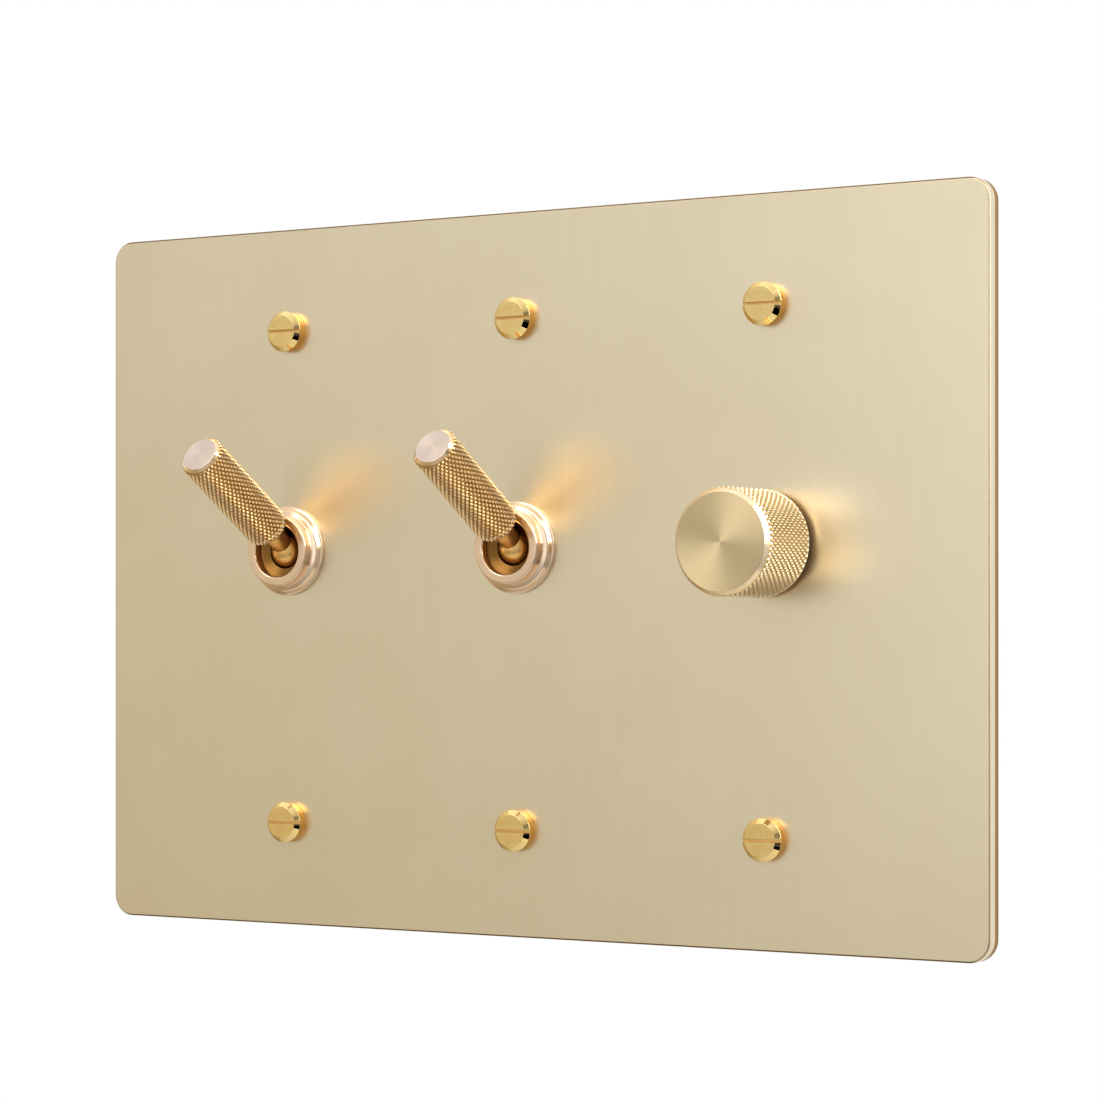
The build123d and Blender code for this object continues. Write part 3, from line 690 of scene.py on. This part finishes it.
lever_tilt = math.radians(32)
grip_radius = 3.8
grip_foot = 6.197
grip_end = 29.0
grip_bevel = 0.8
cap_round = 0.12
foot_round = 1.9
foot_rows = 16
socket_radius = 1.76
socket_depth = 4.0
socket_end = grip_foot + socket_depth
grip_pitch = 1.39
grip_depth = 0.32
grip_diamonds = 30
grip_points = grip_diamonds * knurl_steps
side_start = grip_foot + foot_round
side_end = grip_end - grip_bevel
side_rows = round((side_end - side_start) / (grip_pitch / knurl_steps))
# The knurled rows run on into a bevel until it is a little deeper than the grooves, which scallops it
bevel_rows = 8
scallop_reach = 1.25
scallop_paint = 1.1

grip_profile = []
for row in range(1, foot_rows):
    swing = math.pi / 2 * row / foot_rows
    reach = grip_radius - foot_round + foot_round * math.sin(swing)
    grip_profile.append((reach, side_start - foot_round * math.cos(swing), reach))
for row in range(side_rows):
    height = side_start + (side_end - side_start) * row / side_rows
    grip_profile.append((grip_radius, height, grip_radius))
for row in range(bevel_rows):
    inset = scallop_reach * grip_depth * row / bevel_rows
    grip_profile.append((grip_radius - inset, side_end + inset, grip_radius))
cap_corners = [
    (grip_radius, side_end, 0),
    (grip_radius - grip_bevel, grip_end, cap_round),
    (0, grip_end, 0),
]
# The cap starts where the knurled rows end, and a single point closes its middle
cap_profile = held(rounded(cap_corners))[2:-1]
grip_rings = [
    [(0, 0, socket_end)],
    ring(socket_radius, socket_end, grip_points),
    ring(socket_radius, grip_foot, grip_points),
    ring(grip_radius - foot_round, grip_foot, grip_points),
]
grip_rings += knurled_rings(grip_profile, grip_diamonds, grip_pitch, grip_depth)
grip_rings += lathe(cap_profile, grip_points)
grip_rings.append([(0, 0, grip_end)])
grip_mesh = skin("grip", grip_rings)
smooth(grip_mesh, knurl_crease)
# Grooves darkened as painted shade below golden tips
grip_knurl = knurled_brass(
    "knurled_gold",
    groove_shade=(0.46, 0.24, 0.06, 1),
    tip_highlight=(0.96, 0.74, 0.44, 1),
    roughness=0.15,
    radius=grip_radius,
    depth=grip_depth,
    plain_end=side_start,
)
polished_bevel = turned_brass(
    "polished_bevel",
    dark=(0.80, 0.56, 0.33, 1),
    light=(0.88, 0.66, 0.42, 1),
    roughness=0.08,
    anisotropic=0.2,
)
faced_cap = turned_brass(
    "faced_cap",
    dark=(0.56, 0.45, 0.37, 1),
    light=(0.63, 0.51, 0.43, 1),
    roughness=0.30,
    anisotropic=0.4,
)


def grip_finish(at):
    """2 on the faced cap, 1 on the polished bevel and 0 on the knurl."""
    if at.z > grip_end - paint_margin:
        return 2
    return 1 if at.z > side_end + scallop_paint * grip_depth else 0


dress(grip_mesh, grip_finish, grip_knurl, polished_bevel, faced_cap)
for side in toggles:
    pin_low, pin_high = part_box(f"{side}_pivot_pin")
    pivot = (pin_low + pin_high) / 2
    tilt = facing_out - lever_tilt
    stand(f"{side}_knurled_grip", grip_mesh, pivot, tilt, f"{side}_lever", "knurled_brass", f"{side}_grip")


# Dimmer knob
# Turned from brass bar: a fine diamond knurl between a smooth rear rim and a bevel, and a face
# spun with circular grain. Behind, it is hollow to clear the nut and bored for the flatted shaft.
knob_radius = 8.5
knob_back = 1.4
knob_front = 14.8
knob_face_radius = 7.65
knob_face_round = 0.1
knob_bevel_depth = 1.1
recess_radius = 7.3
recess_depth = 4.6
recess_round = 0.15
recess_floor = knob_back + recess_depth
bore_radius = 3.01
bore_flat = 1.51
bore_end = 12.6
rim_relief = 0.06
rim_round = 0.4
rim_width = 0.45
rim_runout = 0.1
rim_radius = knob_radius - rim_relief
rim_end = knob_back + rim_width
knurl_start = rim_end + rim_runout
knob_pitch = 1.49
knob_depth = 0.32
knob_diamonds = 62
knob_points = knob_diamonds * knurl_steps
knob_bevel_start = knob_front - knob_bevel_depth
knob_bevel_slope = (knob_radius - knob_face_radius) / knob_bevel_depth
knob_rows = round((knob_bevel_start - knurl_start) / (knob_pitch / knurl_steps))

knob_profile = [(rim_radius, rim_end, knob_radius)]
for row in range(knob_rows + 1):
    height = knurl_start + (knob_bevel_start - knurl_start) * row / knob_rows
    knob_profile.append((knob_radius, height, knob_radius))
for row in range(1, bevel_rows):
    inset = scallop_reach * knob_depth * row / bevel_rows
    height = knob_bevel_start + inset / knob_bevel_slope
    knob_profile.append((knob_radius - inset, height, knob_radius))


def flatted_ring(radius, height, flat):
    """A ring with one flat along its top, for the shaft's D-shaped bore."""
    return [(x, min(y, flat), z) for x, y, z in ring(radius, height, knob_points)]


rear_corners = [
    (recess_radius, recess_floor, 0),
    (recess_radius, knob_back, recess_round),
    (rim_radius, knob_back, rim_round),
    (rim_radius, rim_end, 0),
]
face_corners = [
    (knob_radius, knob_bevel_start, 0),
    (knob_face_radius, knob_front, knob_face_round),
    (0, knob_front, 0),
]
knob_rings = [
    [(0, 0, bore_end)],
    flatted_ring(bore_radius, bore_end, bore_flat),
    flatted_ring(bore_radius, recess_floor, bore_flat),
    ring(recess_radius, recess_floor, knob_points),
]
knob_rings += lathe(rounded(rear_corners)[1:-1], knob_points)
knob_rings += knurled_rings(knob_profile, knob_diamonds, knob_pitch, knob_depth)
knob_rings += lathe(held(rounded(face_corners))[2:-1], knob_points)
knob_rings.append([(0, 0, knob_front)])
knob_mesh = skin("knob", knob_rings)
smooth(knob_mesh, knurl_crease)
# Tips paled nearly to white as painted highlight, over grooves darkened as painted shade
knob_knurl = knurled_brass(
    "knurled_pale",
    groove_shade=(0.72, 0.46, 0.17, 1),
    tip_highlight=(1.0, 0.95, 0.81, 1),
    roughness=0.20,
    radius=knob_radius,
    depth=knob_depth,
    plain_end=knob_back,
)
knob_bevel = turned_brass(
    "knob_bevel",
    dark=(0.84, 0.63, 0.38, 1),
    light=(0.92, 0.74, 0.50, 1),
    roughness=0.24,
    anisotropic=0.3,
)
spun_face = turned_brass(
    "spun_face",
    dark=(0.72, 0.58, 0.345, 1),
    light=(0.75, 0.61, 0.375, 1),
    roughness=0.62,
    anisotropic=0.80,
)
# Painted warm light: the back and hollow are a deep orange brass, so that the plate mirrors a warm glow
# behind the knob
knob_rear_painted_glow = turned_brass(
    "knob_back",
    dark=(0.90, 0.55, 0.19, 1),
    light=(0.95, 0.62, 0.25, 1),
    roughness=0.50,
    anisotropic=0.0,
)


def knob_finish(at):
    """3 behind and in the hollow, 2 on the spun face, 1 on the bevel and rear rim, 0 on the knurl."""
    in_hollow = at.z < bore_end + paint_margin and at.xy.length < recess_radius + paint_margin
    if in_hollow or at.z < knob_back + paint_margin:
        return 3
    if at.z > knob_front - paint_margin:
        return 2
    past_scallops = at.z > knob_bevel_start + scallop_paint * knob_depth / knob_bevel_slope
    return 1 if past_scallops or at.z < rim_end else 0


dress(knob_mesh, knob_finish, knob_knurl, knob_bevel, spun_face, knob_rear_painted_glow)
knob_seat = seat_on("dimmer_shaft", plate_front)
stand("dimmer_knurled_knob", knob_mesh, knob_seat, facing_out, "dimmer_turn", "knob_brass", "dimmer_knob")


# Plate screws
# Six slotted screws of polished brass clamp the plate and straps to the wall box. Each head is
# chamfered and sawn across, and the thread is rolled behind a plain shank.
head_radius = 3.425
head_height = 2.2
head_chamfer = 0.75
head_round = 0.12
chamfer_round = 0.06
slot_width = 0.5
slot_depth = 0.8
slot_floor = head_height - slot_depth
shank_radius = 1.5
thread_radius = 1.75
thread_start = -5.0
thread_pitch = 0.8
thread_depth = 0.32
flank_slope = 2.6
rows_per_pitch = 8
screw_end = -24.0
tip_chamfer = 0.5
screw_points = 64
screw_crease = 18
edge_easing = 0.05
easing_angle = math.radians(75)
saw_half_length = 5
saw_clearance = 1

head_corners = [
    (shank_radius, 0, 0),
    (head_radius, 0, head_round),
    (head_radius, head_height - head_chamfer, chamfer_round),
    (head_radius - head_chamfer, head_height, chamfer_round),
    (0, head_height, 0),
]
head_profile = held(rounded(head_corners, steps=3))[:-1]
thread_end = screw_end + tip_chamfer
thread_rows = round((thread_start - thread_end) / thread_pitch * rows_per_pitch)
screw_rings = [[(0, 0, screw_end)], ring(thread_radius - tip_chamfer, screw_end, screw_points)]
for row in range(thread_rows + 1):
    height = thread_end + (thread_start - thread_end) * row / thread_rows
    points = []
    for x, y, z in ring(1.0, height, screw_points):
        phase = height / thread_pitch - math.atan2(y, x) / (2 * math.pi)
        reach = thread_radius - thread_depth * max(0.0, 1 - flank_slope * abs(phase - round(phase)))
        points.append((x * reach, y * reach, z))
    screw_rings.append(points)
screw_rings.append(ring(shank_radius, thread_start, screw_points))
screw_rings += lathe(head_profile, screw_points)
screw_rings.append([(0, 0, head_height)])

saw_corners = [
    (x * saw_half_length * mm, y * slot_width / 2 * mm, z * mm)
    for x in (-1, 1) for y in (-1, 1) for z in (slot_floor, head_height + saw_clearance)
]
saw_faces = [(0, 1, 3, 2), (4, 6, 7, 5), (0, 4, 5, 1), (2, 3, 7, 6), (0, 2, 6, 4), (1, 5, 7, 3)]
saw = bpy.data.objects.new("saw", bpy.data.meshes.new("saw"))
saw.data.from_pydata(saw_corners, [], saw_faces)
blank = bpy.data.objects.new("screw_blank", skin("screw_blank", screw_rings))
for tool in (blank, saw):
    bpy.context.scene.collection.objects.link(tool)
sawing = blank.modifiers.new("slot", "BOOLEAN")
sawing.operation = "DIFFERENCE"
sawing.solver = "EXACT"
sawing.object = saw
easing = blank.modifiers.new("front_edge_shade", "BEVEL")
easing.width = edge_easing * mm
easing.segments = 2
easing.angle_limit = easing_angle
sawn_blank = blank.evaluated_get(bpy.context.evaluated_depsgraph_get())
screw_mesh = bpy.data.meshes.new_from_object(sawn_blank)
screw_mesh.name = "slotted_screw"
screw_mesh.materials.clear()
bpy.data.objects.remove(blank)
bpy.data.objects.remove(saw)
smooth(screw_mesh, screw_crease)


def polished_brass():
    """Polished yellow brass with faint scratches, a duller bloom and a painted reflection of the brass
    plate: deep orange on the head's side.
    """
    scratch_stretch = (900, 9000, 900)
    scratch_relief = 0.002 * mm
    bloom_scale = 500
    yellow_brass = (0.82, 0.59, 0.23, 1), (0.88, 0.66, 0.28, 1)
    # Painted reflection: the deep orange below the chamfer stands in for the brass plate mirrored in the
    # head's side
    lacquer = (0.93, 0.50, 0.12, 1)
    reflection_tint_top = (head_height - head_chamfer) * mm
    reflection_tint_fade = 0.15 * mm
    material, wire, shader = new_finish("polished_brass", {"Metallic": 1.0})
    scratch = grain_noise(wire, scratch_stretch, detail=2.0)
    bloom = even_noise(wire, bloom_scale, detail=2.0)
    face = bloom.span(0.3, 0.7).tint(*yellow_brass)
    side_reflection_tint = 1 - along(wire, "Z").span(reflection_tint_top - reflection_tint_fade, reflection_tint_top)
    side_reflection_tint.tint(face, lacquer).feed(shader["Base Color"])
    (0.05 + 0.05 * scratch + 0.05 * bloom).feed(shader["Roughness"])
    raise_bump(wire, scratch, scratch_relief, strength=0.4).feed(shader["Normal"])
    return material


# The slot's brass is darker and oranger than the head as painted shade for the deep, narrow slot; its
# higher roughness is the sawn surface
sawn_brass_painted_shade = worked_metal(
    "sawn_brass_painted_shade",
    dark=(0.70, 0.42, 0.14, 1),
    light=(0.86, 0.56, 0.22, 1),
    roughness=0.32,
    stretch=(300, 6000, 6000),
)


def screw_finish(at):
    """1 in the slot, below its eased edges, and 0 on the rest."""
    polished_edge = 0.08
    in_slot = abs(at.y) < slot_width / 2 + paint_margin and at.z > slot_floor - paint_margin
    return 1 if in_slot and at.z < head_height - polished_edge else 0


dress(screw_mesh, screw_finish, polished_brass(), sawn_brass_painted_shade)
screw_low, screw_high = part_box("plate_screws")
screw_inset = head_radius * mm
screw_columns = {
    "left": screw_low.x + screw_inset,
    "middle": (screw_low.x + screw_high.x) / 2,
    "right": screw_high.x - screw_inset,
}
screw_rows = {"lower": screw_low.z + screw_inset, "upper": screw_high.z - screw_inset}
for gang, column in screw_columns.items():
    for row, height in screw_rows.items():
        seat = Vector((column, plate_front, height))
        stand(f"{row}_{gang}_screw", screw_mesh, seat, facing_out, "root", "polished_brass", "plate_screws")


# Studio
# A pale floor below, a large soft key above and in front, a low fill and a tall strip to the right,
# in a room that is white behind the plate, dimmer towards the viewer, and has three dark cards.
floor_drop = 0.30
floor_half = 0.32
floor_corners = [
    (x * floor_half, y * floor_half, -floor_drop)
    for x, y in ((-1, -1), (1, -1), (1, 1), (-1, 1))
]
floor_mesh = bpy.data.meshes.new("floor")
floor_mesh.from_pydata(floor_corners, [], [(0, 1, 2, 3)])
floor = bpy.data.objects.new("floor", floor_mesh)
bpy.context.scene.collection.objects.link(floor)
unlit = (0, 0, 0, 1)
floor_glow = (0.50, 0.51, 0.54, 1)
floor_constants = {"Base Color": (0.66, 0.64, 0.60, 1), "Roughness": 0.8, "Emission Strength": 1.0}
floor_paint, wire, shader = new_finish("pale_floor", floor_constants)
seen = wire.make("ShaderNodeLightPath", {}, {}, "Is Camera Ray")
seen.tint(unlit, floor_glow).feed(shader["Emission Color"])
floor_mesh.materials.append(floor_paint)


def towards(azimuth, elevation):
    """Unit vector from the plate, azimuth 0 straight out in front and positive to the right."""
    across, up = math.radians(azimuth), math.radians(elevation)
    return Vector((math.sin(across) * math.cos(up), -math.cos(across) * math.cos(up), math.sin(up)))


def softbox(name, direction, distance, width, height, brightness, colour):
    """Rectangular soft light aimed at the plate."""
    lamp = bpy.data.lights.new(name, "AREA")
    lamp.shape = "RECTANGLE"
    lamp.size = width
    lamp.size_y = height
    lamp.energy = brightness * math.pi * width * height
    lamp.color = colour
    box = bpy.data.objects.new(name, lamp)
    bpy.context.scene.collection.objects.link(box)
    box.location = direction * distance
    box.rotation_euler = direction.to_track_quat("Z", "Y").to_euler()


softbox(
    "key",
    direction=towards(-7, 40),
    distance=0.9,
    width=0.70,
    height=0.50,
    brightness=2.7,
    colour=(1, 1, 1),
)
softbox(
    "fill",
    direction=towards(-6, 4),
    distance=1.1,
    width=0.35,
    height=0.50,
    brightness=1.05,
    colour=(0.92, 0.98, 1.0),
)
softbox(
    "strip",
    direction=towards(84, 30),
    distance=0.9,
    width=0.46,
    height=0.90,
    brightness=8.0,
    colour=(0.95, 0.97, 1.0),
)

world = bpy.data.worlds.new("studio")
world.use_nodes = True
bpy.context.scene.world = world
background = world.node_tree.nodes["Background"].inputs
air = Wire(world.node_tree)
view_ray = air.make("ShaderNodeTexCoord", {}, {}, "Generated")
camera_ray = air.make("ShaderNodeLightPath", {}, {}, "Is Camera Ray")
glossy_ray = air.make("ShaderNodeLightPath", {}, {}, "Is Glossy Ray")


def patch(azimuth, elevation, edge, core):
    """Soft patch of the room round a direction: 1 within core degrees of it, 0 beyond edge degrees."""
    sockets = {0: view_ray, 1: towards(azimuth, elevation)}
    facing = air.make("ShaderNodeVectorMath", {"operation": "DOT_PRODUCT"}, sockets, "Value")
    return facing.span(math.cos(math.radians(edge)), math.cos(math.radians(core)))


ambient = 0.55
white = (1, 1, 1, 1)
low_gold = (1.0, 0.82, 0.46, 1)
viewer_side = patch(0, 0, edge=100, core=60)
ceiling = patch(-10, 80, edge=60, core=25)
ground = patch(0, -75, edge=70, core=30)
upper_left = patch(-48, 26, edge=52, core=8)
lower_left = patch(-58, -26, edge=46, core=12)
# The polished screws mirror these narrow dark cards
upper_card = patch(58, 18, edge=13, core=7)
lower_cards = patch(57, -14, edge=12, core=6) + patch(54, -32, edge=14, core=7)
room = 1 - 0.36 * viewer_side - 0.35 * upper_card - 0.58 * lower_cards
room = room + 0.35 * ceiling - 0.30 * ground + 0.22 * upper_left - 0.12 * lower_left
lit = ambient + glossy_ray * (room - ambient)
(lit + camera_ray * (1 - lit)).feed(background["Strength"])
warm_side = 0.8 * lower_left * (1 - camera_ray)
warm_side.tint(white, low_gold).feed(background["Color"])


# Camera
# The view is level, from the right of the plate, with the frame shifted up a little so that
# upright edges stay upright.
view_turn = math.radians(32)
view_depth = 0.545
view_aside = 0.0054
view_height = -0.00905
ahead = Vector((-math.sin(view_turn), math.cos(view_turn), 0))
right = Vector((math.cos(view_turn), math.sin(view_turn), 0))
camera = bpy.data.objects.new("camera", bpy.data.cameras.new("camera"))
bpy.context.scene.collection.objects.link(camera)
camera.data.lens = 109.5
camera.data.sensor_width = 36.0
camera.data.shift_y = 0.0729
camera.location = Vector((0, plate_front, view_height)) - ahead * view_depth + right * view_aside
camera.rotation_euler = ahead.to_track_quat("-Z", "Y").to_euler()
bpy.context.scene.camera = camera
bpy.context.scene.view_settings.view_transform = "Standard"
